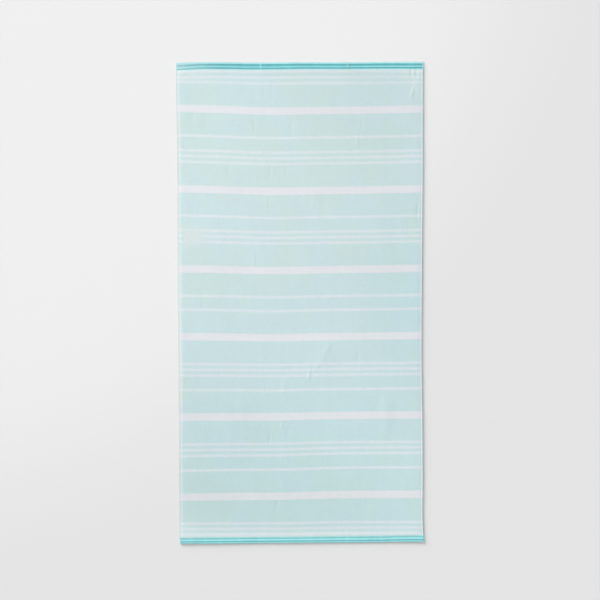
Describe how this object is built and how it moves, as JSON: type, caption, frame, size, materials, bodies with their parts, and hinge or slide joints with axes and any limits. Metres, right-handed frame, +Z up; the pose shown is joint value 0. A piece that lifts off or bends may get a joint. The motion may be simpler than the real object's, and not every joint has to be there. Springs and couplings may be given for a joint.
{
  "type": "beach towel",
  "caption": "Rectangular terry beach towel laid out flat, pale aqua with white cross stripes and a teal hem at each end.",
  "frame": {"origin": "on the surface that the towel lies on, at the middle of the towel's outline box", "axes": "+Y up the towel's length, from its foot to its head; +X across it, to the right as seen from above; +Z up, out of its upper face"},
  "size_m": [0.9267, 1.802, 0.0064],
  "materials": {
    "terry_cloth": "matte cotton terry with a short pile, pale aqua, with white stripes across it and flat teal hems at the ends"
  },
  "bodies": {
    "root": {"towel": "terry_cloth"}
  },
  "joints": []
}
